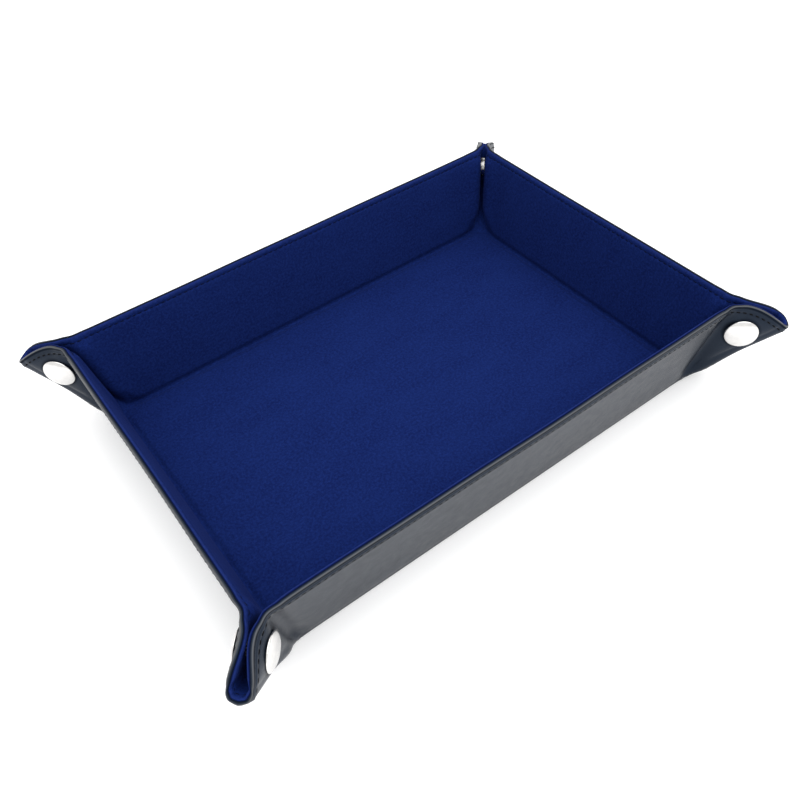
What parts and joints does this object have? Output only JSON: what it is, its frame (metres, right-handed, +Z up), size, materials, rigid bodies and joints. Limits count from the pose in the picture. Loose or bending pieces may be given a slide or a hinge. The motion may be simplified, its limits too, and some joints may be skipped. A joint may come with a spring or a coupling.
{
  "type": "folding dice tray",
  "caption": "Shallow rectangular dice tray of leatherette lined with velvet, its walls held up by press snaps at pinched corners, so that it unfolds flat.",
  "frame": {"origin": "middle of the floor, on the surface that the tray stands on", "axes": "+X along the long side, +Y towards the back long wall, +Z up out of the tray"},
  "size_m": [0.292, 0.215, 0.0485],
  "materials": {
    "leatherette": "smooth black, fine grain, soft sheen",
    "velvet": "short royal blue pile, matt with a soft sheen at grazing angles",
    "stiffener": "plain grey-brown board",
    "thread": "twisted black polyester sewing thread",
    "snap_steel": "polished nickel plate"
  },
  "bodies": {
    "floor": {"floor_leather": "leatherette", "floor_board": "stiffener", "floor_lining": "velvet"},
    "front_wall": {"front_wall_leather": "leatherette", "front_wall_board": "stiffener", "front_wall_lining": "velvet", "front_wall_stitching": "thread"},
    "back_wall": {"back_wall_leather": "leatherette", "back_wall_board": "stiffener", "back_wall_lining": "velvet", "back_wall_stitching": "thread"},
    "left_wall": {"left_wall_leather": "leatherette", "left_wall_board": "stiffener", "left_wall_lining": "velvet", "left_wall_stitching": "thread"},
    "right_wall": {"right_wall_leather": "leatherette", "right_wall_board": "stiffener", "right_wall_lining": "velvet", "right_wall_stitching": "thread"},
    "front_left_long_ear": {"front_left_long_ear_leather": "leatherette", "front_left_long_ear_lining": "velvet", "front_left_long_cap": "snap_steel", "front_left_socket": "snap_steel"},
    "front_left_long_fold": {"front_left_long_fold": "leatherette"},
    "front_left_short_ear": {"front_left_short_ear_leather": "leatherette", "front_left_short_ear_lining": "velvet", "front_left_short_cap": "snap_steel", "front_left_stud": "snap_steel"},
    "front_left_short_fold": {"front_left_short_fold": "leatherette"},
    "front_right_long_ear": {"front_right_long_ear_leather": "leatherette", "front_right_long_ear_lining": "velvet", "front_right_long_cap": "snap_steel", "front_right_socket": "snap_steel"},
    "front_right_long_fold": {"front_right_long_fold": "leatherette"},
    "front_right_short_ear": {"front_right_short_ear_leather": "leatherette", "front_right_short_ear_lining": "velvet", "front_right_short_cap": "snap_steel", "front_right_stud": "snap_steel"},
    "front_right_short_fold": {"front_right_short_fold": "leatherette"},
    "back_left_long_ear": {"back_left_long_ear_leather": "leatherette", "back_left_long_ear_lining": "velvet", "back_left_long_cap": "snap_steel", "back_left_socket": "snap_steel"},
    "back_left_long_fold": {"back_left_long_fold": "leatherette"},
    "back_left_short_ear": {"back_left_short_ear_leather": "leatherette", "back_left_short_ear_lining": "velvet", "back_left_short_cap": "snap_steel", "back_left_stud": "snap_steel"},
    "back_left_short_fold": {"back_left_short_fold": "leatherette"},
    "back_right_long_ear": {"back_right_long_ear_leather": "leatherette", "back_right_long_ear_lining": "velvet", "back_right_long_cap": "snap_steel", "back_right_socket": "snap_steel"},
    "back_right_long_fold": {"back_right_long_fold": "leatherette"},
    "back_right_short_ear": {"back_right_short_ear_leather": "leatherette", "back_right_short_ear_lining": "velvet", "back_right_short_cap": "snap_steel", "back_right_stud": "snap_steel"},
    "back_right_short_fold": {"back_right_short_fold": "leatherette"}
  },
  "joints": [
    {"name": "walls_fold", "type": "hinge", "parent": "floor", "child": "front_wall", "pos_m": [0, -0.078, 0.0017], "axis": [1, 0, 0], "range_deg": [0, 78]},
    {"name": "back_wall_fold", "type": "hinge", "parent": "floor", "child": "back_wall", "pos_m": [0, 0.078, 0.0017], "axis": [-1, 0, 0], "range_deg": [0, 78]},
    {"name": "left_wall_fold", "type": "hinge", "parent": "floor", "child": "left_wall", "pos_m": [-0.1165, 0, 0.0017], "axis": [0, -1, 0], "range_deg": [0, 78]},
    {"name": "right_wall_fold", "type": "hinge", "parent": "floor", "child": "right_wall", "pos_m": [0.1165, 0, 0.0017], "axis": [0, 1, 0], "range_deg": [0, 78]},
    {"name": "front_left_long_ear_turn", "type": "hinge", "parent": "front_wall", "child": "front_left_long_ear", "pos_m": [-0.11084, -0.078, 0.0017], "axis": [0.2036, 0.2036, -0.9577], "range_deg": [0, 46.29]},
    {"name": "front_left_long_fold_turn", "type": "hinge", "parent": "front_left_long_ear", "child": "front_left_long_fold", "pos_m": [-0.11084, -0.078, 0.0017], "axis": [-0.5416, -0.5416, 0.643], "range_deg": [0, 90.05]},
    {"name": "front_left_short_ear_turn", "type": "hinge", "parent": "left_wall", "child": "front_left_short_ear", "pos_m": [-0.1165, -0.07234, 0.0017], "axis": [-0.2036, -0.2036, 0.9577], "range_deg": [0, 46.29]},
    {"name": "front_left_short_fold_turn", "type": "hinge", "parent": "front_left_short_ear", "child": "front_left_short_fold", "pos_m": [-0.1165, -0.07234, 0.0017], "axis": [0.5416, 0.5416, -0.643], "range_deg": [0, 90.05]},
    {"name": "front_right_long_ear_turn", "type": "hinge", "parent": "front_wall", "child": "front_right_long_ear", "pos_m": [0.11084, -0.078, 0.0017], "axis": [0.2036, -0.2036, 0.9577], "range_deg": [0, 46.29]},
    {"name": "front_right_long_fold_turn", "type": "hinge", "parent": "front_right_long_ear", "child": "front_right_long_fold", "pos_m": [0.11084, -0.078, 0.0017], "axis": [-0.5416, 0.5416, -0.643], "range_deg": [0, 90.05]},
    {"name": "front_right_short_ear_turn", "type": "hinge", "parent": "right_wall", "child": "front_right_short_ear", "pos_m": [0.1165, -0.07234, 0.0017], "axis": [-0.2036, 0.2036, -0.9577], "range_deg": [0, 46.29]},
    {"name": "front_right_short_fold_turn", "type": "hinge", "parent": "front_right_short_ear", "child": "front_right_short_fold", "pos_m": [0.1165, -0.07234, 0.0017], "axis": [0.5416, -0.5416, 0.643], "range_deg": [0, 90.05]},
    {"name": "back_left_long_ear_turn", "type": "hinge", "parent": "back_wall", "child": "back_left_long_ear", "pos_m": [-0.11084, 0.078, 0.0017], "axis": [-0.2036, 0.2036, 0.9577], "range_deg": [0, 46.29]},
    {"name": "back_left_long_fold_turn", "type": "hinge", "parent": "back_left_long_ear", "child": "back_left_long_fold", "pos_m": [-0.11084, 0.078, 0.0017], "axis": [0.5416, -0.5416, -0.643], "range_deg": [0, 90.05]},
    {"name": "back_left_short_ear_turn", "type": "hinge", "parent": "left_wall", "child": "back_left_short_ear", "pos_m": [-0.1165, 0.07234, 0.0017], "axis": [0.2036, -0.2036, -0.9577], "range_deg": [0, 46.29]},
    {"name": "back_left_short_fold_turn", "type": "hinge", "parent": "back_left_short_ear", "child": "back_left_short_fold", "pos_m": [-0.1165, 0.07234, 0.0017], "axis": [-0.5416, 0.5416, 0.643], "range_deg": [0, 90.05]},
    {"name": "back_right_long_ear_turn", "type": "hinge", "parent": "back_wall", "child": "back_right_long_ear", "pos_m": [0.11084, 0.078, 0.0017], "axis": [-0.2036, -0.2036, -0.9577], "range_deg": [0, 46.29]},
    {"name": "back_right_long_fold_turn", "type": "hinge", "parent": "back_right_long_ear", "child": "back_right_long_fold", "pos_m": [0.11084, 0.078, 0.0017], "axis": [0.5416, 0.5416, 0.643], "range_deg": [0, 90.05]},
    {"name": "back_right_short_ear_turn", "type": "hinge", "parent": "right_wall", "child": "back_right_short_ear", "pos_m": [0.1165, 0.07234, 0.0017], "axis": [0.2036, 0.2036, 0.9577], "range_deg": [0, 46.29]},
    {"name": "back_right_short_fold_turn", "type": "hinge", "parent": "back_right_short_ear", "child": "back_right_short_fold", "pos_m": [0.1165, 0.07234, 0.0017], "axis": [-0.5416, -0.5416, -0.643], "range_deg": [0, 90.05]}
  ],
  "couplings": [
    {"joint": "back_wall_fold", "follows": "walls_fold", "ratio": 1},
    {"joint": "left_wall_fold", "follows": "walls_fold", "ratio": 1},
    {"joint": "right_wall_fold", "follows": "walls_fold", "ratio": 1},
    {"joint": "front_left_long_ear_turn", "follows": "walls_fold", "ratio": 0.59281},
    {"joint": "front_left_long_fold_turn", "follows": "walls_fold", "ratio": 1.1538},
    {"joint": "front_left_short_ear_turn", "follows": "walls_fold", "ratio": 0.59281},
    {"joint": "front_left_short_fold_turn", "follows": "walls_fold", "ratio": 1.1538},
    {"joint": "front_right_long_ear_turn", "follows": "walls_fold", "ratio": 0.59281},
    {"joint": "front_right_long_fold_turn", "follows": "walls_fold", "ratio": 1.1538},
    {"joint": "front_right_short_ear_turn", "follows": "walls_fold", "ratio": 0.59281},
    {"joint": "front_right_short_fold_turn", "follows": "walls_fold", "ratio": 1.1538},
    {"joint": "back_left_long_ear_turn", "follows": "walls_fold", "ratio": 0.59281},
    {"joint": "back_left_long_fold_turn", "follows": "walls_fold", "ratio": 1.1538},
    {"joint": "back_left_short_ear_turn", "follows": "walls_fold", "ratio": 0.59281},
    {"joint": "back_left_short_fold_turn", "follows": "walls_fold", "ratio": 1.1538},
    {"joint": "back_right_long_ear_turn", "follows": "walls_fold", "ratio": 0.59281},
    {"joint": "back_right_long_fold_turn", "follows": "walls_fold", "ratio": 1.1538},
    {"joint": "back_right_short_ear_turn", "follows": "walls_fold", "ratio": 0.59281},
    {"joint": "back_right_short_fold_turn", "follows": "walls_fold", "ratio": 1.1538}
  ]
}
